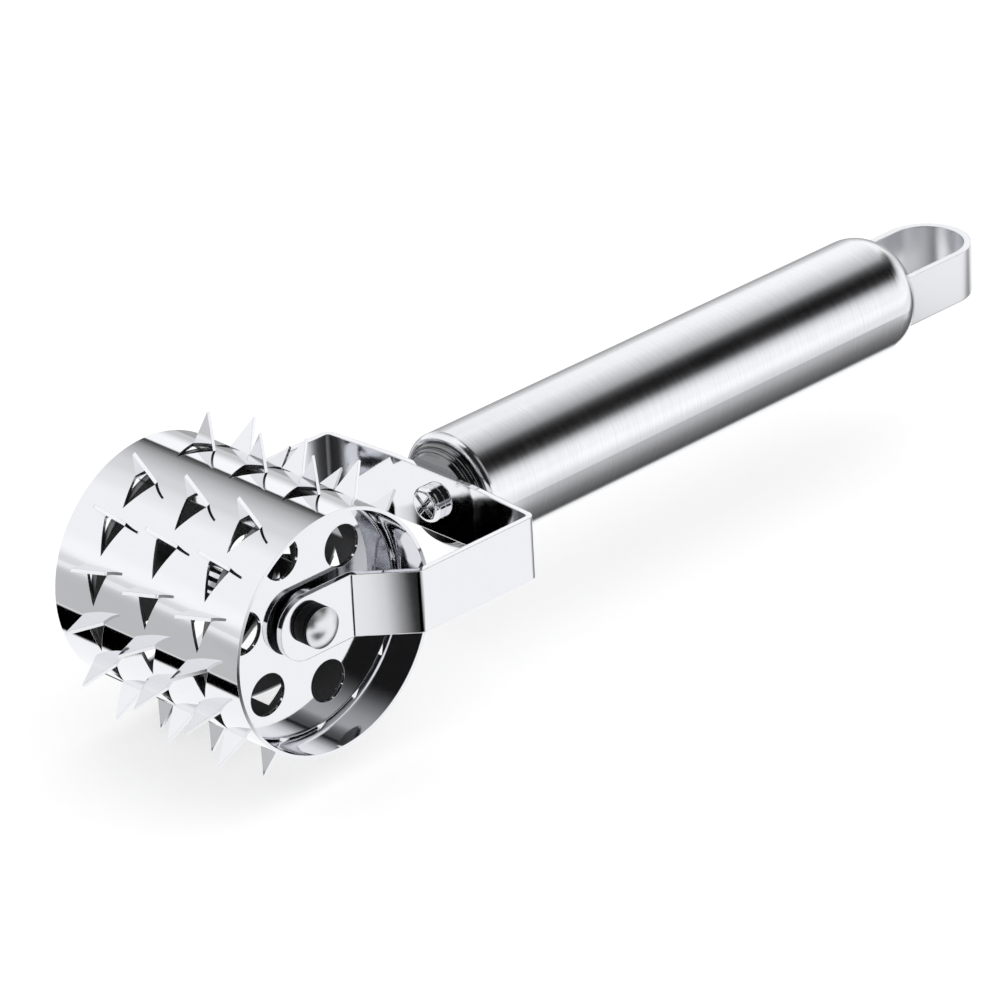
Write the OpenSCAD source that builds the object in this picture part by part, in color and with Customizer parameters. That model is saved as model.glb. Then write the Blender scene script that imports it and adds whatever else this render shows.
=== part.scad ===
// Roller meat tenderizer: a spiked steel drum turns on an axle in a bent strip fork.
// The fork is screwed to a thin steel tube handle that ends in a hanging loop.
// +X runs along the drum's axle, +Y along the handle towards the loop and +Z is up.
// The origin is on the handle's axis, in the middle of the straight grip.

/* [Drum] */
// Outside diameter of the drum's shell
drum_d = 40; // [38:0.5:42]
// Length of the drum along its axle
drum_len = 41; // [38:0.5:44]
// Wall of the drum's shell
shell_t = 0.6; // [0.5:0.05:0.8]
// Rows of spikes around the drum
row_count = 15; // [9:1:15]
// Angle of the first row from +Y towards +Z, in degrees
row_start_angle = 112.6; // [95:0.2:125]
// Angle from the last row to the first, across the sheet's joint, in degrees
joint_angle = 35.2; // [24:0.2:40]
// Spikes in each row
spikes_per_row = 3; // [1:1:3]
// Distance between the spikes of a row
spike_pitch = 11.7; // [9:0.1:12.4]
// Height of a spike above the shell
spike_h = 5.6; // [4:0.1:6]
// Width of a spike at its foot
spike_w = 4.4; // [3.5:0.1:5]
// Width of the cut that frees a spike from the sheet
spike_cut = 0.1; // [0.05:0.05:0.2]

/* [Drum discs] */
// Depth of a disc's flat face below the drum's rim
disc_inset = 6.6; // [6:0.1:7.5]
// Thickness of a disc's sheet
disc_t = 0.8; // [0.6:0.05:0.9]
// Depth of a disc from its flat face to the end of its flange
disc_depth = 1.8; // [1.5:0.1:2.4]
// Outside radius between a disc's face and its flange
disc_bend_r = 1.1; // [1:0.1:1.4]
// Holes in a disc
disc_hole_count = 6; // [3:1:6]
// Diameter of a disc's holes
disc_hole_d = 7; // [5:0.1:7.5]
// Diameter of the circle through the holes' centres
disc_hole_circle_d = 25.2; // [23.5:0.1:26]
// Angle of the first hole from +Y towards +Z, in degrees
disc_hole_angle = 48; // [0:1:60]

/* [Hub bushes] */
// Outside diameter of a bush's sleeve
bush_d = 7.4; // [6.8:0.1:8]
// Length of a bush's sleeve inside the drum
bush_len = 4; // [3:0.1:6]
// Diameter of a bush's flange
bush_flange_d = 10; // [9:0.1:10.4]
// Thickness of a bush's flange
bush_flange_t = 0.6; // [0.4:0.05:0.7]
// Running clearance between bush and axle, on the radius
run_gap = 0.05; // [0.02:0.01:0.09]

/* [Axle] */
// Diameter of the axle rod
axle_d = 5; // [4.5:0.1:5.5]
// Length of the axle rod beyond each ear
axle_tail = 1.7; // [1.4:0.1:1.9]
// Diameter of an end cap
cap_d = 6.6; // [6.4:0.1:7.4]
// Length of an end cap's straight side
cap_len = 2; // [1.8:0.1:2.6]
// Height of an end cap's dome
cap_dome_h = 1.3; // [1:0.1:1.6]
// Width of a groove around an end cap
cap_groove_w = 0.25; // [0.2:0.05:0.3]
// Depth of a groove around an end cap
cap_groove_depth = 0.25; // [0.15:0.05:0.35]

/* [Fork] */
// Thickness of the fork's strip
strip_t = 1; // [0.9:0.05:1.2]
// Width of the fork's strip
strip_w = 10.6; // [10.4:0.1:11.4]
// Outside width across the fork's arms
fork_w = 46.8; // [46:0.2:50]
// Distance from the drum's axle to the back plate's outer face
fork_reach = 41.6; // [40:0.2:45]
// Half of the flat middle of the back plate
plate_half = 9; // [8:0.1:10]
// Distance by which the back plate's ends fall away from its middle
plate_fall = 1.2; // [0.6:0.1:1.6]
// Inside radius of the back plate's two slight bends
plate_bend_r = 8; // [5:0.5:12]
// Distance from the drum's axle to the arm's upper bend
shoulder_reach = 15.9; // [15:0.1:16.6]
// Distance from the drum's axle to the bend at the ear
ear_bend_reach = 8; // [7.4:0.1:8.6]
// Depth of an ear's outer face below the drum's rim
ear_inset = 4.5; // [4.2:0.1:4.7]
// Distance from the axle to the centre of an ear's round end
ear_lead = 1.5; // [0.8:0.1:2]
// Inside radius of the fork's sharp bends
fork_bend_r = 0.7; // [0.5:0.1:1]

/* [Fork screw] */
// Diameter of the screw's head
head_d = 6; // [5.8:0.1:7]
// Height of the screw's head
head_h = 1.9; // [1.8:0.1:2.4]
// Rounding of the head's edge
head_edge_r = 0.9; // [0.6:0.1:0.9]
// Diameter of the screw's shank
screw_d = 4; // [3.5:0.1:4.5]
// Length of the screw's shank
screw_len = 12; // [9:0.5:13]
// Clearance of the fork's hole around the shank, on the radius
screw_play = 0.1; // [0.05:0.01:0.2]
// Length across the head's cross recess
recess_len = 4.4; // [3.6:0.1:4.8]
// Width of each slot of the cross recess
recess_w = 0.7; // [0.6:0.1:1]
// Depth of the cross recess
recess_depth = 1.2; // [0.8:0.1:1.4]

/* [Handle] */
// Outside diameter of the handle's tube
tube_d = 20.2; // [20:0.2:22]
// Wall of the handle's tube
tube_t = 0.8; // [0.7:0.05:0.9]
// Length of the handle's tube
tube_len = 102.3; // [90:0.5:120]
// Outside radius of the curled lip at the front
lip_r = 1.1; // [1:0.05:1.3]
// Outside radius of the domed rear end
dome_r = 7; // [5:0.1:7.5]
// Distance from the back plate to the tube's front lip
nose_len = 2.4; // [2.2:0.1:3]
// Diameter of the nose's flat front face
nose_d = 14.6; // [13.4:0.1:15]
// Radius of the beads around the nose
bead_r = 0.45; // [0.3:0.05:0.5]
// Length of the plug behind the nose
plug_len = 12; // [11:0.5:20]

/* [Hanging loop] */
// Outside width of the loop
loop_w = 15.4; // [14:0.1:15.6]
// Width of the loop's strip
loop_strip_w = 8.7; // [8:0.1:8.9]
// Thickness of the loop's strip
loop_t = 1.2; // [1:0.05:1.4]
// Distance that the loop reaches beyond the tube's rear end
loop_reach = 17.2; // [15:0.1:20]
// Length of the loop's legs inside the tube's straight part
leg_len = 8; // [7:0.1:12]
// Thickness of the disc that holds the legs
loop_plug_t = 6; // [4:0.1:6.5]
// Clearance of the loop in the dome's slots
slot_gap = 0.1; // [0.05:0.01:0.2]

/* [Hidden] */
// Overrun of every cut
over = 1;
// Largest turn of one step around a bend of the strip, in degrees
bend_step = 8;
// Where the grooves lie along an end cap's straight side
cap_groove_shares = [0.55, 0.8];
// Where the beads lie along the nose
bead_shares = [0.46, 0.8];
// Turn of the screw's cross recess, in degrees
recess_turn = 40;
// Colours of the polished and the brushed pieces
polished = [0.86, 0.87, 0.88];
satin = [0.74, 0.75, 0.76];
$fn = 96;

// Where the grip, the tube's ends, the back plate and the axle lie along Y
grip_len = tube_len - lip_r - dome_r;
grip_start = -grip_len / 2;
grip_end = grip_len / 2;
tube_front = grip_start - lip_r;
tube_rear = grip_end + dome_r;
plate_y = tube_front - nose_len;
axle_y = plate_y - fork_reach;

// The drum's radii, its places along the axle and its angles
shell_r = drum_d / 2;
shell_in = shell_r - shell_t;
rim_x = drum_len / 2;
disc_face_x = rim_x - disc_inset;
ear_face_x = rim_x - ear_inset;
row_step = (360 - joint_angle) / (row_count - 1);
hole_angle = (spike_h + spike_cut) / shell_r * 180 / PI;
hole_len = shell_r * sin(hole_angle);
hole_floor = shell_in * cos(hole_angle) - over;

// The handle's radii and the loop's places
tube_r = tube_d / 2;
tube_in = tube_r - tube_t;
lip_in = tube_r - lip_r;
nose_r = nose_d / 2;
loop_r = loop_w / 2;
loop_in = loop_r - loop_t;
loop_centre_y = tube_rear + loop_reach - loop_r;
leg_start = grip_end - leg_len;

// Places its children on the drum's axle, with their Z axis along +X
module on_axle() {
    translate([0, axle_y, 0])
        rotate([90, 0, 90])
            children();
}

// Places its children on the handle's axis, with their Z axis along +Y
module on_handle(y = 0) {
    translate([0, y, 0])
        rotate([-90, 0, 0])
            children();
}

// Mirrors its children to the left side when side is -1
module on_side(side) {
    if (side > 0)
        children();
    else
        mirror([1, 0, 0])
            children();
}

// Puts its children at each spike's foot: +Z points outwards and +Y on around the drum
module at_spikes() {
    first_x = -spike_pitch * (spikes_per_row - 1) / 2;
    for (row = [0 : row_count - 1])
        for (i = [0 : spikes_per_row - 1])
            rotate([0, 0, row_start_angle + row * row_step])
                translate([0, 0, first_x + i * spike_pitch])
                    rotate([0, 90, 0])
                        children();
}

// The hole that a spike leaves in the sheet
module spike_hole() {
    half_w = spike_w / 2 + spike_cut;
    translate([0, 0, hole_floor])
        linear_extrude(shell_r + over - hole_floor)
            polygon([[-half_w, 0], [half_w, 0], [0, hole_len]]);
}

// A spike: a triangle of the sheet, folded up at its foot, its sides running on into the sheet
module spike() {
    root_depth = shell_t / 2;
    root_half_w = spike_w / 2 * (spike_h + root_depth) / spike_h;
    rotate([90, 0, 0])
        linear_extrude(shell_t)
            polygon([
                [-root_half_w, shell_r - root_depth],
                [root_half_w, shell_r - root_depth],
                [0, shell_r + spike_h]
            ]);
}

module drum_shell() {
    color(polished)
        on_axle() {
            difference() {
                translate([0, 0, -rim_x])
                    cylinder(r = shell_r, h = drum_len);
                translate([0, 0, -rim_x - over])
                    cylinder(r = shell_in, h = drum_len + 2 * over);
                at_spikes()
                    spike_hole();
            }
            at_spikes()
                spike();
        }
}

// A quarter of a bent sheet's edge, from above its centre round to the right
module bent_quarter(r, t) {
    intersection() {
        difference() {
            circle(r = r);
            circle(r = r - t);
        }
        square(r);
    }
}

// A cup-shaped disc, its flat face at Z = 0 and its flange pointing down into the drum
module disc() {
    bend_at = shell_in - disc_bend_r;
    difference() {
        rotate_extrude() {
            translate([bush_d / 2, -disc_t])
                square([bend_at - bush_d / 2, disc_t]);
            translate([bend_at, -disc_bend_r])
                bent_quarter(disc_bend_r, disc_t);
            translate([shell_in - disc_t, -disc_depth])
                square([disc_t, disc_depth - disc_bend_r]);
        }
        for (i = [0 : disc_hole_count - 1])
            rotate([0, 0, disc_hole_angle + i * 360 / disc_hole_count])
                translate([disc_hole_circle_d / 2, 0, -disc_t - over])
                    cylinder(d = disc_hole_d, h = disc_t + 2 * over);
    }
}

module drum_disc(side) {
    color(polished)
        on_side(side)
            on_axle()
                translate([0, 0, disc_face_x])
                    disc();
}

module drum_disc_left() {
    drum_disc(-1);
}

module drum_disc_right() {
    drum_disc(1);
}

// A flanged bush that sits in a disc and runs on the axle
module hub_bush(side) {
    sleeve_len = disc_t + bush_len;
    color(satin)
        on_side(side)
            on_axle()
                translate([0, 0, disc_face_x])
                    difference() {
                        union() {
                            cylinder(d = bush_flange_d, h = bush_flange_t);
                            translate([0, 0, -sleeve_len])
                                cylinder(d = bush_d, h = sleeve_len + bush_flange_t);
                        }
                        translate([0, 0, -sleeve_len - over])
                            cylinder(r = axle_d / 2 + run_gap, h = sleeve_len + bush_flange_t + 2 * over);
                    }
}

module hub_bush_left() {
    hub_bush(-1);
}

module hub_bush_right() {
    hub_bush(1);
}

module axle_rod() {
    half_len = ear_face_x + axle_tail;
    color(satin)
        on_axle()
            translate([0, 0, -half_len])
                cylinder(d = axle_d, h = 2 * half_len);
}

// A grooved, domed cap over the axle's end, its back on the ear
module axle_cap(side) {
    cap_r = cap_d / 2;
    dome_sphere_r = (cap_r * cap_r + cap_dome_h * cap_dome_h) / (2 * cap_dome_h);
    color(polished)
        on_side(side)
            on_axle()
                translate([0, 0, ear_face_x])
                    difference() {
                        intersection() {
                            cylinder(r = cap_r, h = cap_len + cap_dome_h);
                            translate([0, 0, cap_len + cap_dome_h - dome_sphere_r])
                                sphere(r = dome_sphere_r);
                        }
                        translate([0, 0, -over])
                            cylinder(d = axle_d, h = axle_tail + over);
                        for (share = cap_groove_shares)
                            translate([0, 0, share * cap_len - cap_groove_w / 2])
                                difference() {
                                    cylinder(r = cap_r + over, h = cap_groove_w);
                                    translate([0, 0, -over])
                                        cylinder(r = cap_r - cap_groove_depth, h = cap_groove_w + 2 * over);
                                }
                    }
}

module axle_cap_left() {
    axle_cap(-1);
}

module axle_cap_right() {
    axle_cap(1);
}

// The strip's outer face from the middle of the back plate to the right ear's round end
strip_corners = [
    [0, 0],
    [plate_half, 0],
    [fork_w / 2, -plate_fall],
    [fork_w / 2, shoulder_reach - fork_reach],
    [ear_face_x, ear_bend_reach - fork_reach],
    [ear_face_x, -fork_reach - ear_lead]
];
// Inside radius of the bend at each corner between the strip's ends
strip_bend_rs = [plate_bend_r, fork_bend_r, fork_bend_r, fork_bend_r];

function unit(v) = v / norm(v);
function left_of(v) = [-v.y, v.x];
function turned(v, a) = [v.x * cos(a) - v.y * sin(a), v.x * sin(a) + v.y * cos(a)];
function turn_angle(a, b) = atan2(a.x * b.y - a.y * b.x, a.x * b.x + a.y * b.y);

// Points around the bend at corner i, on a face that far below the strip's outer face
function bend_points(i, depth) =
    let (
        corner = strip_corners[i],
        run = unit(corner - strip_corners[i - 1]),
        turn = turn_angle(run, strip_corners[i + 1] - corner),
        inside_r = strip_bend_rs[i - 1],
        face_r = turn < 0 ? inside_r + strip_t : -inside_r,
        centre = corner - run * abs(face_r) * tan(abs(turn) / 2) - face_r * left_of(run),
        steps = ceil(abs(turn) / bend_step)
    )
    [for (k = [0 : steps]) centre + (face_r - depth) * turned(left_of(run), turn * k / steps)];

// The right half of a face of the strip, without the point on the middle line
function strip_face(depth) =
    let (last = len(strip_corners) - 1)
    [
        for (i = [1 : last - 1]) each bend_points(i, depth),
        strip_corners[last] - [depth, 0]
    ];
function backwards(v) = [for (i = [len(v) - 1 : -1 : 0]) v[i]];
function mirrored(v) = [for (p = v) [-p.x, p.y]];

module fork() {
    outer_face = strip_face(0);
    inner_face = strip_face(strip_t);
    color(polished)
        difference() {
            union() {
                translate([0, plate_y, -strip_w / 2])
                    linear_extrude(strip_w)
                        polygon(concat(
                            backwards(mirrored(outer_face)),
                            outer_face,
                            backwards(inner_face),
                            mirrored(inner_face)
                        ));
                for (side = [-1, 1])
                    on_side(side)
                        translate([0, -ear_lead, 0])
                            on_axle()
                                translate([0, 0, ear_face_x - strip_t])
                                    cylinder(d = strip_w, h = strip_t);
            }
            on_axle()
                translate([0, 0, -fork_w])
                    cylinder(d = axle_d, h = 2 * fork_w);
            on_handle(plate_y - strip_t - over)
                cylinder(d = screw_d + 2 * screw_play, h = strip_t + 2 * over);
        }
}

// A pan head screw: the head lies inside the fork and the shank points to the handle
module fork_screw() {
    head_r = head_d / 2;
    color(satin)
        on_handle(plate_y - strip_t - head_h)
            difference() {
                union() {
                    rotate_extrude() {
                        square([head_r - head_edge_r, head_h]);
                        translate([0, head_edge_r])
                            square([head_r, head_h - head_edge_r]);
                        translate([head_r - head_edge_r, head_edge_r])
                            circle(r = head_edge_r);
                    }
                    cylinder(d = screw_d, h = head_h + screw_len);
                }
                for (a = [0, 90])
                    rotate([0, 0, recess_turn + a])
                        translate([-recess_len / 2, -recess_w / 2, -over])
                            cube([recess_len, recess_w, recess_depth + over]);
            }
}

// The turned nose and the plug behind it that the screw bites into
module handle_plug() {
    bore_len = screw_len - strip_t;
    color(polished)
        on_handle(plate_y)
            difference() {
                union() {
                    rotate_extrude() {
                        polygon([
                            [0, 0],
                            [nose_r, 0],
                            [lip_in - bead_r, nose_len],
                            [0, nose_len]
                        ]);
                        for (share = bead_shares)
                            translate([nose_r + (lip_in - nose_r) * share - bead_r, nose_len * share])
                                circle(r = bead_r);
                    }
                    translate([0, 0, nose_len - over])
                        cylinder(r = nose_r, h = over);
                    translate([0, 0, nose_len])
                        cylinder(r = lip_in, h = plug_len);
                }
                translate([0, 0, -over])
                    cylinder(d = screw_d, h = bore_len + over);
            }
}

// The filled half profile of the handle, its radii drawn in by depth
module handle_profile(depth) {
    translate([0, grip_start])
        square([tube_r - depth, grip_len]);
    translate([lip_in, grip_start])
        circle(r = lip_r - depth);
    translate([tube_r - dome_r, grip_end])
        circle(r = dome_r - depth);
    translate([0, grip_end])
        square([tube_r - dome_r, dome_r - depth]);
}

module handle_tube() {
    slot_w = loop_t + 2 * slot_gap;
    slot_h = loop_strip_w + 2 * slot_gap;
    color(satin)
        difference() {
            on_handle()
                rotate_extrude()
                    difference() {
                        handle_profile(0);
                        handle_profile(tube_t);
                        translate([0, tube_front - over])
                            square([lip_in, lip_r + over]);
                        translate([-tube_r, tube_front - over])
                            square([tube_r, tube_len + 2 * over]);
                    }
            for (side = [-1, 1])
                on_side(side)
                    translate([loop_in - slot_gap, grip_end, -slot_h / 2])
                        cube([slot_w, dome_r + over, slot_h]);
        }
}

// The disc inside the tube that holds the loop's legs
module loop_plug() {
    color(satin)
        difference() {
            on_handle(leg_start)
                cylinder(r = tube_in, h = loop_plug_t);
            for (side = [-1, 1])
                on_side(side)
                    translate([loop_in, leg_start - over, -loop_strip_w / 2])
                        cube([loop_t, loop_plug_t + 2 * over, loop_strip_w]);
        }
}

module hanging_loop() {
    leg_run = loop_centre_y - leg_start;
    color(polished)
        translate([0, loop_centre_y, -loop_strip_w / 2])
            difference() {
                union() {
                    cylinder(r = loop_r, h = loop_strip_w);
                    translate([-loop_r, -leg_run, 0])
                        cube([loop_w, leg_run, loop_strip_w]);
                }
                translate([0, 0, -over])
                    cylinder(r = loop_in, h = loop_strip_w + 2 * over);
                translate([-loop_in, -leg_run - over, -over])
                    cube([2 * loop_in, leg_run + over, loop_strip_w + 2 * over]);
            }
}

drum_shell();
drum_disc_left();
drum_disc_right();
hub_bush_left();
hub_bush_right();
axle_rod();
axle_cap_left();
axle_cap_right();
fork();
fork_screw();
handle_plug();
handle_tube();
loop_plug();
hanging_loop();
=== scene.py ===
import math

import bpy
from mathutils import Matrix, Vector


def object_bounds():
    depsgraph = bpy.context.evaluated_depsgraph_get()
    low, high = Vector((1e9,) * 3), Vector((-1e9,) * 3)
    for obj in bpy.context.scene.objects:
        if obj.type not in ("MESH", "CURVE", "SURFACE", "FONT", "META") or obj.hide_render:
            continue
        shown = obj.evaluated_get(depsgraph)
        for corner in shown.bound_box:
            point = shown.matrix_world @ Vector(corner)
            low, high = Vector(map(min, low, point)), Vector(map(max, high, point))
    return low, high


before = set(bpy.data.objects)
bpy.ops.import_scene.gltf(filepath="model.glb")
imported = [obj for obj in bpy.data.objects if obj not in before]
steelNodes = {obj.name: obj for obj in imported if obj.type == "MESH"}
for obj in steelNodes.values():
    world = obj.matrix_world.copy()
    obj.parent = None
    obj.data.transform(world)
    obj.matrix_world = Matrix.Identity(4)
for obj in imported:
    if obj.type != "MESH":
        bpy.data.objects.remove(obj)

# Roller meat tenderizer, all stainless steel. Metres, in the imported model's own frame:
# the handle lies along Y with the loop at +Y, the drum turns about X at the -Y end.

cadBounds = [list(corner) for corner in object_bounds()]
print("frame loaded:", len(steelNodes), "nodes")


# The camera stands where the photograph was taken from.
cameraView = {
    "azimuth": 46.62,      # degrees, from -Y towards +X
    "elevation": 26.39,
    "roll": -3.0,
    "place": (0.672934, -0.673029, 0.454182),
    "lens": 235.04,
    "sensor": 36.0,
    "clip": (0.01, 50),
}


def addCamera(values):
    az, el, roll = (math.radians(values[turn]) for turn in ("azimuth", "elevation", "roll"))
    back = Vector((math.sin(az) * math.cos(el), -math.cos(az) * math.cos(el), math.sin(el)))
    right = Vector((math.cos(az), math.sin(az), 0))
    up = back.cross(right)
    rolledRight = right * math.cos(roll) + up * math.sin(roll)
    rolledUp = up * math.cos(roll) - right * math.sin(roll)
    data = bpy.data.cameras.new("camera")
    data.lens = values["lens"]
    data.sensor_width = values["sensor"]
    data.clip_start, data.clip_end = values["clip"]
    camera = bpy.data.objects.new("camera", data)
    turn = Matrix((rolledRight, rolledUp, back)).transposed().to_4x4()
    camera.matrix_world = Matrix.Translation(values["place"]) @ turn
    bpy.context.scene.collection.objects.link(camera)
    bpy.context.scene.camera = camera


addCamera(cameraView)
bpy.context.scene.view_settings.view_transform = "Standard"
print("camera placed")


# Small helpers for node trees. A value is a number or another node's output.

def link(tree, source, target):
    tree.links.new(source, target)


def feed(tree, socket, value):
    if isinstance(value, bpy.types.NodeSocket):
        link(tree, value, socket)
    else:
        socket.default_value = value


def addNode(tree, kind, **values):
    node = tree.nodes.new(kind)
    for name, value in values.items():
        setattr(node, name, value)
    return node


def mathNode(tree, operation, *values, clamp=False):
    node = addNode(tree, "ShaderNodeMath", operation=operation, use_clamp=clamp)
    for socket, value in zip(node.inputs, values):
        feed(tree, socket, value)
    return node.outputs[0]


def product(tree, first, *others):
    for other in others:
        first = mathNode(tree, "MULTIPLY", first, other)
    return first


def oneMinus(tree, value):
    return mathNode(tree, "SUBTRACT", 1.0, value)


def darken(tree, level, darkness):
    return product(tree, level, oneMinus(tree, darkness))


def scaled(tree, value, factor, offset):
    return mathNode(tree, "MULTIPLY_ADD", value, factor, offset)


def hypotenuse(tree, a, b):
    return mathNode(tree, "SQRT", mathNode(tree, "MULTIPLY_ADD", a, a, product(tree, b, b)))


def split(tree, vector):
    node = addNode(tree, "ShaderNodeSeparateXYZ")
    link(tree, vector, node.inputs[0])
    return node.outputs


def dot(tree, vector, direction):
    node = addNode(tree, "ShaderNodeVectorMath", operation="DOT_PRODUCT")
    link(tree, vector, node.inputs[0])
    node.inputs[1].default_value = direction
    return node.outputs["Value"]


# 0 at low and 1 at high, soft in between; low may be the larger of the two.
def softStep(tree, value, low, high):
    node = addNode(tree, "ShaderNodeMapRange", interpolation_type="SMOOTHSTEP")
    link(tree, value, node.inputs["Value"])
    node.inputs["From Min"].default_value = low
    node.inputs["From Max"].default_value = high
    return node.outputs["Result"]


def blend(tree, share, first, second):
    node = addNode(tree, "ShaderNodeMix", data_type="FLOAT")
    for slot, value in ((0, share), (2, first), (3, second)):
        feed(tree, node.inputs[slot], value)
    return node.outputs[0]


# Grey levels at stops given in the value's own units, between low and high.
def addRamp(tree, value, low, high, stops):
    span = high - low
    ramp = addNode(tree, "ShaderNodeValToRGB")
    elements = ramp.color_ramp.elements
    while len(elements) > 1:
        elements.remove(elements[-1])
    for row, (at, level) in enumerate(stops):
        position = (at - low) / span
        element = elements.new(position) if row else elements[0]
        element.position = position
        element.color = (level, level, level, 1)
    link(tree, scaled(tree, value, 1 / span, -low / span), ramp.inputs["Fac"])
    return ramp.outputs["Color"]


# Sets the nodes out in columns, each left of the nodes that it feeds.
def arrange(tree, columnWidth=220, rowHeight=260):
    column = {node.name: 0 for node in tree.nodes}
    moved = True
    while moved:
        moved = False
        for wire in tree.links:
            least = column[wire.to_node.name] + 1
            if column[wire.from_node.name] < least:
                column[wire.from_node.name] = least
                moved = True
    filled = {}
    for node in tree.nodes:
        place = column[node.name]
        row = filled.get(place, 0)
        filled[place] = row + 1
        node.location = (-columnWidth * place, -rowHeight * row)


# One group gives every steel its grain: streaks stretched by the Along factors (per metre),
# soft clouds of wear over them, and, where Inside is 1, a duller skin whose colour is darkened
# with painted shade.
grainShadeValues = {
    "streakDetail": 4.0,
    "streakRoughness": 0.65,
    "streakShare": 0.75,
    "cloudScale": 110.0,    # per metre
    "cloudDetail": 3.0,
    "cloudShare": 0.25,
    "contrast": (0.35, 0.65),
    "dullRoughness": 0.35,
    # how much of the colour the painted shade takes away where Inside is 1
    "paintedShadeLoss": -0.78,
    "tint": (0.993, 1.0, 1.034),    # the photograph's cool steel
}


def makeGrainShadeGroup(values):
    group = bpy.data.node_groups.new("steelGrainAndPaintedShade", "ShaderNodeTree")
    for name, kind, value in (
        ("Along", "NodeSocketVector", (1, 1, 1)),
        ("Rough low", "NodeSocketFloat", 0.2),
        ("Rough high", "NodeSocketFloat", 0.3),
        ("Shade", "NodeSocketFloat", 0.05),
        ("Tone", "NodeSocketFloat", 0.8),
        ("Inside", "NodeSocketFloat", 0.0),
    ):
        socket = group.interface.new_socket(name, in_out="INPUT", socket_type=kind)
        socket.default_value = value
    for name, kind in (
        ("Color", "NodeSocketColor"),
        ("Roughness", "NodeSocketFloat"),
        ("Height", "NodeSocketFloat"),
    ):
        group.interface.new_socket(name, in_out="OUTPUT", socket_type=kind)
    into = addNode(group, "NodeGroupInput")
    out = addNode(group, "NodeGroupOutput")
    coordinate = addNode(group, "ShaderNodeTexCoord")
    stretched = addNode(group, "ShaderNodeVectorMath", operation="MULTIPLY")
    link(group, coordinate.outputs["Object"], stretched.inputs[0])
    link(group, into.outputs["Along"], stretched.inputs[1])
    streaks = addNode(group, "ShaderNodeTexNoise")
    streaks.inputs["Scale"].default_value = 1.0
    streaks.inputs["Detail"].default_value = values["streakDetail"]
    streaks.inputs["Roughness"].default_value = values["streakRoughness"]
    link(group, stretched.outputs[0], streaks.inputs["Vector"])
    clouds = addNode(group, "ShaderNodeTexNoise")
    clouds.inputs["Scale"].default_value = values["cloudScale"]
    clouds.inputs["Detail"].default_value = values["cloudDetail"]
    link(group, coordinate.outputs["Object"], clouds.inputs["Vector"])
    line = streaks.outputs["Fac"]
    share = product(group, line, values["streakShare"])
    mixed = scaled(group, clouds.outputs["Fac"], values["cloudShare"], share)
    rough = addNode(group, "ShaderNodeMapRange")
    least, most = values["contrast"]
    rough.inputs["From Min"].default_value = least
    rough.inputs["From Max"].default_value = most
    link(group, mixed, rough.inputs["Value"])
    link(group, into.outputs["Rough low"], rough.inputs["To Min"])
    link(group, into.outputs["Rough high"], rough.inputs["To Max"])
    inside = into.outputs["Inside"]
    dullRough = scaled(group, inside, values["dullRoughness"], rough.outputs["Result"])
    offset = mathNode(group, "SUBTRACT", mixed, 0.5)
    shaded = scaled(group, offset, into.outputs["Shade"], into.outputs["Tone"])
    # painted shade: the colour is darkened where Inside is 1
    kept = scaled(group, inside, values["paintedShadeLoss"], 1.0)
    tone = mathNode(group, "MULTIPLY", shaded, kept, clamp=True)
    color = addNode(group, "ShaderNodeCombineColor")
    for channel, factor in enumerate(values["tint"]):
        link(group, product(group, tone, factor), color.inputs[channel])
    link(group, color.outputs[0], out.inputs["Color"])
    link(group, dullRough, out.inputs["Roughness"])
    link(group, line, out.inputs["Height"])
    arrange(group)
    return group


# Masks of painted shade: places where the steel's colour is darkened to paint the shade that
# falls there, and its finish is made duller. A pair is where the mask starts and is full.
drumPlace = {
    "axisY": -0.0922,
    "betweenDiscs": (0.0136, 0.0132),
    "withinShell": (0.0199, 0.0196),
}
capPlace = {"neck": (0.0179, 0.0177), "neckPaintedShade": 1.2}
forkPlace = {
    "facing": (-0.003, -0.008),     # x times the normal's x, below 0 on the inner sides
    "armY": (-0.062, -0.073),
    "armPaintedShade": 0.35,
    "earY": (-0.077, -0.0885),
    "earPaintedShade": 0.75,
    "cornerX": (0.0185, 0.0205),
    "cornerY": (-0.058, -0.0545),
    "cornerPerMetre": 45.0,         # makes facing about -1 on the arms' inner sides
    "cornerFacing": (-0.3, -0.8),
    "cornerPaintedShade": 1.0,
}


# Painted shade on the drum's walls between the two discs.
def drumInsideShade(group, coordinate):
    x, y, z = split(group, coordinate.outputs["Object"])
    radius = hypotenuse(group, mathNode(group, "SUBTRACT", y, drumPlace["axisY"]), z)
    between = softStep(group, mathNode(group, "ABSOLUTE", x), *drumPlace["betweenDiscs"])
    return product(group, between, softStep(group, radius, *drumPlace["withinShell"]))


# The grooved side of the axle's caps, darkened with painted shade.
def capNeckShade(group, coordinate):
    x = split(group, coordinate.outputs["Object"])[0]
    neck = softStep(group, mathNode(group, "ABSOLUTE", x), *capPlace["neck"])
    return product(group, neck, capPlace["neckPaintedShade"])


# Painted shade on the sides of the fork's arms and ears that look inwards, and in the hollows of
# its rear bends.
def forkInsideShade(group, coordinate):
    x, y, z = split(group, coordinate.outputs["Object"])
    facingX, facingY, facingZ = split(group, coordinate.outputs["Normal"])
    inward = product(group, x, facingX)
    arm = product(group, softStep(group, y, *forkPlace["armY"]), forkPlace["armPaintedShade"])
    ear = scaled(group, softStep(group, y, *forkPlace["earY"]), forkPlace["earPaintedShade"], arm)
    hollow = scaled(group, inward, forkPlace["cornerPerMetre"], facingY)
    corner = product(
        group,
        softStep(group, mathNode(group, "ABSOLUTE", x), *forkPlace["cornerX"]),
        softStep(group, y, *forkPlace["cornerY"]),
        softStep(group, hollow, *forkPlace["cornerFacing"]),
        forkPlace["cornerPaintedShade"],
    )
    return scaled(group, softStep(group, inward, *forkPlace["facing"]), ear, corner)


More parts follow.
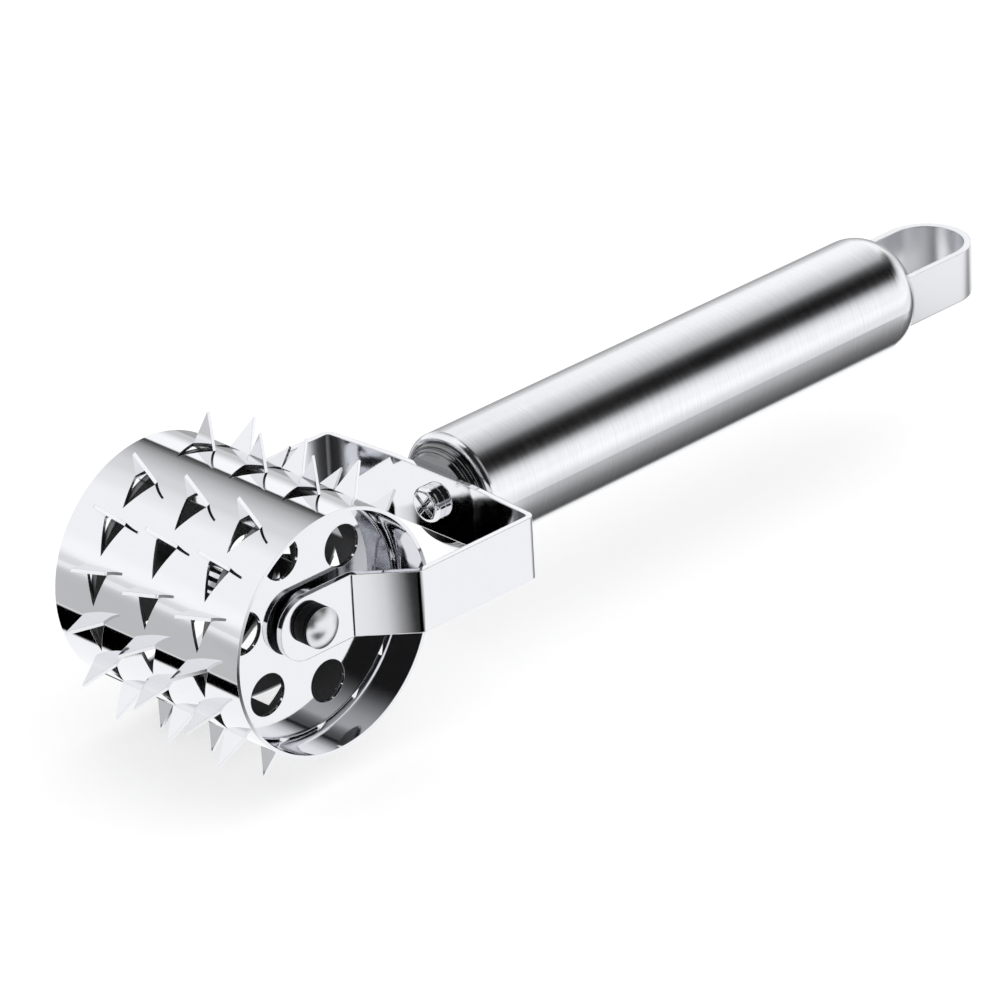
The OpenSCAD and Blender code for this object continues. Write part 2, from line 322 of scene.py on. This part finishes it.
def makeMaskGroup(name, mask):
    group = bpy.data.node_groups.new(name, "ShaderNodeTree")
    group.interface.new_socket("Inside", in_out="OUTPUT", socket_type="NodeSocketFloat")
    out = addNode(group, "NodeGroupOutput")
    coordinate = addNode(group, "ShaderNodeTexCoord")
    link(group, mask(group, coordinate), out.inputs["Inside"])
    arrange(group)
    return group


masks = {"drumInsideShade": drumInsideShade, "capNeckShade": capNeckShade, "forkInsideShade": forkInsideShade}
grainShadeGroup = makeGrainShadeGroup(grainShadeValues)
maskGroups = {name: makeMaskGroup(name, mask) for name, mask in masks.items()}

# Streaks per metre along each axis, least and most roughness, how much the grain shades,
# the steel's tone, how high the grain stands, how round the edges look in metres, parts made
# duller and darkened with painted shade.
steelFinishes = {
    "drumSteel": {
        "along": (300, 900, 900), "rough": (0.035, 0.07), "shade": 0.04, "tone": 0.82,
        "bump": 0.010, "edge": 0.00006, "shadeAndDull": "drumInsideShade",
    },
    "forkSteel": {
        "along": (700, 700, 700), "rough": (0.03, 0.07), "shade": 0.04, "tone": 0.82,
        "bump": 0.010, "edge": 0.00022, "shadeAndDull": "forkInsideShade",
    },
    "tubeSteel": {
        "along": (110, 3400, 110), "rough": (0.14, 0.19), "shade": 0.30, "tone": 0.84,
        "bump": 0.05,
    },
    "loopSteel": {
        "along": (500, 500, 500), "rough": (0.28, 0.33), "shade": 0.05, "tone": 0.92,
        "bump": 0.006, "edge": 0.00022,
    },
    "turnedSteel": {
        "along": (1500, 200, 200), "rough": (0.06, 0.11), "shade": 0.06, "tone": 0.80,
        "bump": 0.006, "edge": 0.00012,
    },
    "noseSteel": {
        "along": (200, 1500, 200), "rough": (0.08, 0.14), "shade": 0.06, "tone": 0.22,
        "bump": 0.008,
    },
    "capSteel": {
        "along": (1500, 200, 200), "rough": (0.27, 0.32), "shade": 0.06, "tone": 0.80,
        "bump": 0.006, "edge": 0.00012, "shadeAndDull": "capNeckShade",
    },
}
bumpDistance = 0.0001
edgeSamples = 6


def makeSteel(name, finish):
    material = bpy.data.materials.new(name)
    material.use_nodes = True
    tree = material.node_tree
    shader = tree.nodes["Principled BSDF"]
    shader.inputs["Metallic"].default_value = 1.0
    grainShadeNode = addNode(tree, "ShaderNodeGroup")
    grainShadeNode.node_tree = grainShadeGroup
    low, high = finish["rough"]
    for slot, value in (
        ("Along", finish["along"]),
        ("Rough low", low),
        ("Rough high", high),
        ("Shade", finish["shade"]),
        ("Tone", finish["tone"]),
    ):
        grainShadeNode.inputs[slot].default_value = value
    # where a finish names a mask, the mask darkens the colour there with painted shade and dulls
    # the finish
    if "shadeAndDull" in finish:
        inside = addNode(tree, "ShaderNodeGroup")
        inside.node_tree = maskGroups[finish["shadeAndDull"]]
        link(tree, inside.outputs["Inside"], grainShadeNode.inputs["Inside"])
    bump = addNode(tree, "ShaderNodeBump")
    bump.inputs["Strength"].default_value = finish["bump"]
    bump.inputs["Distance"].default_value = bumpDistance
    link(tree, grainShadeNode.outputs["Height"], bump.inputs["Height"])
    if "edge" in finish:
        edge = addNode(tree, "ShaderNodeBevel", samples=edgeSamples)
        edge.inputs["Radius"].default_value = finish["edge"]
        link(tree, edge.outputs["Normal"], bump.inputs["Normal"])
    link(tree, grainShadeNode.outputs["Color"], shader.inputs["Base Color"])
    link(tree, grainShadeNode.outputs["Roughness"], shader.inputs["Roughness"])
    link(tree, bump.outputs["Normal"], shader.inputs["Normal"])
    arrange(tree)
    return material


steels = {name: makeSteel(name, finish) for name, finish in steelFinishes.items()}

nodeFinish = {
    "drum_shell": "drumSteel",
    "drum_disc_left": "drumSteel",
    "drum_disc_right": "drumSteel",
    "hub_bush_left": "turnedSteel",
    "hub_bush_right": "turnedSteel",
    "axle_rod": "turnedSteel",
    "axle_cap_left": "capSteel",
    "axle_cap_right": "capSteel",
    "fork": "forkSteel",
    "fork_screw": "forkSteel",
    "handle_plug": "noseSteel",
    "handle_tube": "tubeSteel",
    "loop_plug": "turnedSteel",
    "hanging_loop": "loopSteel",
}
for name, finish in nodeFinish.items():
    data = steelNodes[name].data
    data.materials.clear()
    data.materials.append(steels[finish])
print("steel finishes set on", len(nodeFinish), "nodes")


# The fork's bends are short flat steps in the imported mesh. They are shaded as the smooth
# bends they stand for, and its true edges stay sharp.
bendShading = {
    "mergeWithin": 0.000002,
    "sharpAngle": 20,       # degrees
    "flatFacesWeight": 80,
}


def smoothBends(node, values):
    group = bpy.data.node_groups.new(node.name + "Smooth", "GeometryNodeTree")
    group.interface.new_socket("Geometry", in_out="INPUT", socket_type="NodeSocketGeometry")
    group.interface.new_socket("Geometry", in_out="OUTPUT", socket_type="NodeSocketGeometry")
    into = addNode(group, "NodeGroupInput")
    out = addNode(group, "NodeGroupOutput")
    merge = addNode(group, "GeometryNodeMergeByDistance")
    merge.inputs["Distance"].default_value = values["mergeWithin"]
    forget = addNode(group, "GeometryNodeRemoveAttribute")
    forget.inputs["Name"].default_value = "custom_normal"
    smooth = addNode(group, "GeometryNodeSetShadeSmooth", domain="FACE")
    sharp = addNode(group, "GeometryNodeSetShadeSmooth", domain="EDGE")
    sharp.inputs["Shade Smooth"].default_value = False
    angle = addNode(group, "GeometryNodeInputMeshEdgeAngle")
    over = addNode(group, "FunctionNodeCompare", data_type="FLOAT", operation="GREATER_THAN")
    over.inputs[1].default_value = math.radians(values["sharpAngle"])
    link(group, into.outputs[0], merge.inputs["Geometry"])
    link(group, merge.outputs["Geometry"], forget.inputs["Geometry"])
    link(group, forget.outputs["Geometry"], smooth.inputs["Geometry"])
    link(group, smooth.outputs["Geometry"], sharp.inputs["Geometry"])
    link(group, angle.outputs["Unsigned Angle"], over.inputs[0])
    link(group, over.outputs["Result"], sharp.inputs["Selection"])
    link(group, sharp.outputs["Geometry"], out.inputs[0])
    arrange(group)
    modifier = node.modifiers.new("smooth bends", "NODES")
    modifier.node_group = group
    weighted = node.modifiers.new("flat faces lead", "WEIGHTED_NORMAL")
    weighted.keep_sharp = True
    weighted.weight = values["flatFacesWeight"]


smoothBends(steelNodes["fork"], bendShading)
print("bends shaded smooth")


# The air and what the mirror steel sees in it, by direction. Only glossy rays meet the dark
# zones; the camera sees plain white. A pair is where a zone's edge starts and is full.
skySeen = {
    "airLevel": 0.66,       # soft light from all round, for diffuse rays
    "level": 1.12,
    # the dark ceiling over the camera: its middle, then darkness by the cosine from it
    "ceilingFrom": (0.557, -0.321, 0.766),
    "ceiling": (
        (-1.0, 0.0), (-0.17, 0.0), (0.035, 0.08), (0.174, 0.23), (0.309, 0.39),
        (0.407, 0.55), (0.487, 0.71), (0.535, 0.92), (0.57, 0.99), (1.0, 0.99),
    ),
    # where the ceiling ends: a bright side, at azimuth -75 degrees
    "brightToward": (-0.966, -0.259),
    "brightEdge": (0.50, 0.78),
    # low light beside the handle's right keeps the thin edges there bright
    "lowToward": (0.985, 0.174),
    "lowEdge": (0.88, 0.95),
    "lowTop": (0.34, 0.26),
    # a paler patch of the ceiling lights the bottom of the drum's rim
    "patchFrontY": (-0.35, 0.30),
    "patchRearY": (0.56, 0.45),
    "patchX": (0.20, 0.45),
    "patchStrength": 0.42,
    # middle of the dark band along the tube's top, then where its rear rounding sees it,
    # and darkness by the cosine from each
    "tubeDarkFrom": ((0.451, 0.641, 0.621), (0.330, 0.800, 0.500), (0.200, 0.900, 0.385)),
    "tubeDark": (
        (-1.0, 0.0), (0.87, 0.0), (0.90, 0.30), (0.93, 0.60), (0.9466, 0.79),
        (0.97, 0.93), (0.986, 0.97), (0.995, 1.0), (1.0, 1.0),
    ),
    # darkness by y of the slot on the left that the drum's upper half mirrors
    "slotRange": (-0.2, 0.8),
    "slot": (
        (-0.2, 0.05), (-0.08, 0.14), (0.03, 0.18), (0.13, 0.27), (0.24, 0.30), (0.334, 0.40),
        (0.425, 0.52), (0.509, 0.72), (0.555, 0.90), (0.578, 0.97), (0.592, 0.0),
    ),
    "slotZ": (0.20, 0.36),
    "slotX": (-0.45, -0.60),
    # brightness of the wall behind: by z on the right, and even and low on the left
    "wallEdge": (0.35, 0.55),
    "rightWall": (
        (-1.0, 0.95), (0.0, 0.95), (0.12, 0.97), (0.24, 0.90),
        (0.36, 0.62), (0.44, 0.24), (0.52, 0.03), (1.0, 0.02),
    ),
    "rightX": (-0.45, 0.10),
    "rightTop": (0.50, 0.44),
    "leftWall": 0.60,
    "leftTop": (0.30, 0.10),
    # the air is a little darker low in front
    "hazeZ": (0.17, 0.03),
    "hazeY": (-0.35, -0.50),
    "hazeStrength": -0.26,
}


# How nearly a direction, seen from above, points along heading: 1 straight along it.
def headingTo(tree, x, y, flat, heading):
    along = mathNode(tree, "MULTIPLY_ADD", x, heading[0], product(tree, y, heading[1]))
    return mathNode(tree, "DIVIDE", along, flat)


def skyLevel(tree, values):
    coordinate = addNode(tree, "ShaderNodeTexCoord")
    direction = coordinate.outputs["Generated"]
    x, y, z = split(tree, direction)
    flat = hypotenuse(tree, x, y)

    def step(value, name):
        return softStep(tree, value, *values[name])

    ceiling = addRamp(tree, dot(tree, direction, values["ceilingFrom"]), -1, 1, values["ceiling"])
    low = headingTo(tree, x, y, flat, values["lowToward"])
    ceiling = darken(tree, ceiling, product(tree, step(low, "lowEdge"), step(z, "lowTop")))
    patch = product(tree, step(y, "patchFrontY"), step(y, "patchRearY"), step(x, "patchX"))
    ceiling = darken(tree, ceiling, product(tree, patch, values["patchStrength"]))
    for middle in values["tubeDarkFrom"]:
        band = addRamp(tree, dot(tree, direction, middle), -1, 1, values["tubeDark"])
        ceiling = mathNode(tree, "MAXIMUM", ceiling, band)
    bright = step(headingTo(tree, x, y, flat, values["brightToward"]), "brightEdge")
    openLevel = oneMinus(tree, darken(tree, ceiling, bright))

    slot = addRamp(tree, y, *values["slotRange"], values["slot"])
    slot = product(tree, slot, step(z, "slotZ"), step(x, "slotX"))
    level = darken(tree, openLevel, slot)

    behind = step(mathNode(tree, "DIVIDE", y, flat), "wallEdge")
    right = step(x, "rightX")
    rightWall = addRamp(tree, z, -1, 1, values["rightWall"])
    lowRight = product(tree, behind, step(z, "rightTop"), right)
    level = blend(tree, lowRight, level, rightWall)
    lowLeft = product(tree, behind, darken(tree, step(z, "leftTop"), right))
    level = blend(tree, lowLeft, level, values["leftWall"])

    haze = product(tree, step(z, "hazeZ"), step(y, "hazeY"))
    return product(tree, level, scaled(tree, haze, values["hazeStrength"], 1.0))


def makeWorld(values):
    world = bpy.data.worlds.new("studioAir")
    bpy.context.scene.world = world
    world.use_nodes = True
    tree = world.node_tree
    tree.nodes.clear()
    out = addNode(tree, "ShaderNodeOutputWorld")
    mirrored, soft, white = (addNode(tree, "ShaderNodeBackground") for use in range(3))
    link(tree, skyLevel(tree, values), mirrored.inputs["Color"])
    mirrored.inputs["Strength"].default_value = values["level"]
    soft.inputs["Color"].default_value = (1, 1, 1, 1)
    soft.inputs["Strength"].default_value = values["airLevel"]
    white.inputs["Color"].default_value = (1, 1, 1, 1)
    path = addNode(tree, "ShaderNodeLightPath")
    surface = soft.outputs[0]
    for ray, background in (("Is Glossy Ray", mirrored), ("Is Camera Ray", white)):
        mix = addNode(tree, "ShaderNodeMixShader")
        link(tree, path.outputs[ray], mix.inputs["Fac"])
        link(tree, surface, mix.inputs[1])
        link(tree, background.outputs[0], mix.inputs[2])
        surface = mix.outputs[0]
    link(tree, surface, out.inputs["Surface"])
    arrange(tree)


# The floor, and a painted reflection on it: for glossy rays the floor glows with a pattern of
# painted shade, by place in the model's frame, that the steel mirrors.
floorValues = {
    "side": 4.0,
    "gap": 0.0002,          # under the lowest spike
    "tone": 0.62,
    "roughness": 0.9,
    "lift": 0.55,           # added for camera rays, so that the open floor is white
}
floorShadeSeen = {
    "level": 1.12,
    "openLevel": 0.95,
    # brightness of the painted shade by x under the handle, behind a line that runs with x
    "handleSpan": 0.16,
    "handle": (
        (-0.100, 0.38), (-0.060, 0.29), (-0.042, 0.28), (-0.030, 0.50), (-0.018, 0.92),
        (-0.009, 0.92), (-0.0015, 0.95), (0.001, 0.50), (0.003, 0.12), (0.005, 0.07),
        (0.009, 0.11), (0.019, 0.20), (0.027, 0.33), (0.037, 0.46), (0.055, 0.68),
        (0.075, 0.83), (0.100, 0.94), (0.130, 1.00), (0.158, 1.03),
    ),
    "handleLine": (0.69, -0.0346),      # slope and offset
    "handleLeastY": -0.052,
    "handleEdge": (-0.012, -0.002),
    # painted shade on the ground beside the loop
    "loopY": (0.075, 0.095),
    "loopX": (0.022, 0.032),
    "loopEndX": (0.080, 0.060),
    "loopLevel": 0.87,
    # painted shade on the ground in front of the drum, paler further away
    "frontY": (-0.1385, -0.142),
    "frontX": (0.03, -0.01),
    "frontLevel": 0.53,
    "farY": (-0.22, -0.60),
    "farLevel": 0.88,
    "openY": (-0.60, -3.5),
    # painted shade on the ground that the back plate mirrors right of its screw
    "plateLine": (-1.082, -0.05583),    # slope by y and offset
    "plateSpan": 0.01,
    "plate": ((-0.01, 0.0), (-0.009, 0.05), (-0.0054, 0.30), (-0.0044, 0.55), (-0.0039, 1.0)),
    "plateFrontY": (-0.100, -0.096),
    "plateRearY": (-0.0670, -0.0705),
    "plateRightX": (-0.004, -0.008),
    "plateLeftSlope": 0.5,
    "plateLeft": (-0.0832, -0.0812),
    # darkness of the painted shade by (x + y) / sqrt 2 on the ground that the arm's slant mirrors
    "slantSpan": 0.05,
    "slant": (
        (-0.050, 0.04), (-0.047, 0.10), (-0.0446, 0.15), (-0.0422, 0.30), (-0.0399, 0.68),
        (-0.038, 0.95), (-0.036, 1.0), (-0.015, 1.0), (-0.005, 0.60), (0.008, 0.20), (0.015, 0.0),
    ),
    "slantNear": (0.092, 0.098),        # by (x - y) / sqrt 2
    "slantFar": (0.150, 0.135),
    # painted shade for the drum's black line and its wide left end:
    # middle x, middle y, half width, half length, soft edge, darkness
    "zones": (
        (-0.030, -0.1330, 0.040, 0.0050, 0.002, 1.0),
        (-0.040, -0.1280, 0.0125, 0.0085, 0.002, 1.0),
    ),
}


# How far a value lies outside middle plus and minus half.
def distancePast(tree, value, middle, half):
    away = mathNode(tree, "ABSOLUTE", mathNode(tree, "SUBTRACT", value, middle))
    return mathNode(tree, "SUBTRACT", away, half)


# The floor's painted reflection: levels of painted shade by place, seen only by glossy rays.
def paintedFloorShadeLevel(tree, values):
    coordinate = addNode(tree, "ShaderNodeTexCoord")
    x, y, z = split(tree, coordinate.outputs["Object"])

    def step(value, name):
        return softStep(tree, value, *values[name])

    span = values["handleSpan"]
    underHandle = addRamp(tree, x, -span, span, values["handle"])
    line = scaled(tree, x, *values["handleLine"])
    line = mathNode(tree, "MAXIMUM", line, values["handleLeastY"])
    behind = step(mathNode(tree, "SUBTRACT", y, line), "handleEdge")
    level = blend(tree, behind, values["openLevel"], underHandle)

    loop = product(tree, step(y, "loopY"), step(x, "loopX"), step(x, "loopEndX"))
    level = blend(tree, loop, level, values["loopLevel"])

    frontLevel = blend(tree, step(y, "farY"), values["frontLevel"], values["farLevel"])
    front = product(tree, step(y, "frontY"), step(x, "frontX"))
    level = blend(tree, front, level, frontLevel)
    level = blend(tree, step(y, "openY"), level, values["openLevel"])

    oblique = mathNode(tree, "ADD", scaled(tree, y, *values["plateLine"]), x)
    leftSide = scaled(tree, y, values["plateLeftSlope"], x)
    plate = product(
        tree,
        addRamp(tree, oblique, -values["plateSpan"], values["plateSpan"], values["plate"]),
        step(y, "plateFrontY"),
        step(y, "plateRearY"),
        step(x, "plateRightX"),
        step(leftSide, "plateLeft"),
    )
    level = darken(tree, level, plate)

    diagonal = math.sqrt(0.5)
    along = product(tree, mathNode(tree, "ADD", x, y), diagonal)
    across = product(tree, mathNode(tree, "SUBTRACT", x, y), diagonal)
    slant = addRamp(tree, along, -values["slantSpan"], values["slantSpan"], values["slant"])
    slant = product(tree, slant, step(across, "slantNear"), step(across, "slantFar"))
    level = darken(tree, level, slant)

    for middleX, middleY, halfX, halfY, edge, darkness in values["zones"]:
        pastX = distancePast(tree, x, middleX, halfX)
        pastY = distancePast(tree, y, middleY, halfY)
        within = softStep(tree, mathNode(tree, "MAXIMUM", pastX, pastY), edge, 0.0)
        level = darken(tree, level, product(tree, within, darkness))
    return level


def makeFloor(values, shadeSeenValues):
    side = values["side"]
    corners = [(-side, -side, 0), (side, -side, 0), (side, side, 0), (-side, side, 0)]
    mesh = bpy.data.meshes.new("floor")
    mesh.from_pydata(corners, [], [(0, 1, 2, 3)])
    floor = bpy.data.objects.new("floor", mesh)
    floor.location = (0, 0, cadBounds[0][2] - values["gap"])
    bpy.context.scene.collection.objects.link(floor)
    material = bpy.data.materials.new("paleFloorWithPaintedShade")
    material.use_nodes = True
    tree = material.node_tree
    out = tree.nodes["Material Output"]
    shader = tree.nodes["Principled BSDF"]
    tone = values["tone"]
    shader.inputs["Base Color"].default_value = (tone, tone, tone, 1)
    shader.inputs["Roughness"].default_value = values["roughness"]
    shader.inputs["Specular IOR Level"].default_value = 0.0
    shader.inputs["Emission Color"].default_value = (1, 1, 1, 1)
    path = addNode(tree, "ShaderNodeLightPath")
    lift = product(tree, path.outputs["Is Camera Ray"], values["lift"])
    link(tree, lift, shader.inputs["Emission Strength"])
    # for glossy rays the floor glows with the painted shade instead of its lit colour
    mirrored = addNode(tree, "ShaderNodeEmission")
    mirrored.inputs["Strength"].default_value = shadeSeenValues["level"]
    link(tree, paintedFloorShadeLevel(tree, shadeSeenValues), mirrored.inputs["Color"])
    mix = addNode(tree, "ShaderNodeMixShader")
    link(tree, path.outputs["Is Glossy Ray"], mix.inputs["Fac"])
    link(tree, shader.outputs[0], mix.inputs[1])
    link(tree, mirrored.outputs[0], mix.inputs[2])
    link(tree, mix.outputs[0], out.inputs["Surface"])
    arrange(tree)
    mesh.materials.append(material)


# A weak sun, so wide that its shadow is soft.
sunValues = {
    "strength": 0.65,
    "width": 70.0,          # degrees
    "turn": (-14.0, 12.0, 0.0),
}


def makeSun(values):
    data = bpy.data.lights.new("softSun", "SUN")
    data.energy = values["strength"]
    data.angle = math.radians(values["width"])
    sun = bpy.data.objects.new("softSun", data)
    sun.rotation_euler = [math.radians(turn) for turn in values["turn"]]
    sun.visible_glossy = False
    bpy.context.scene.collection.objects.link(sun)


makeWorld(skySeen)
makeFloor(floorValues, floorShadeSeen)
makeSun(sunValues)
print("floor and light set")
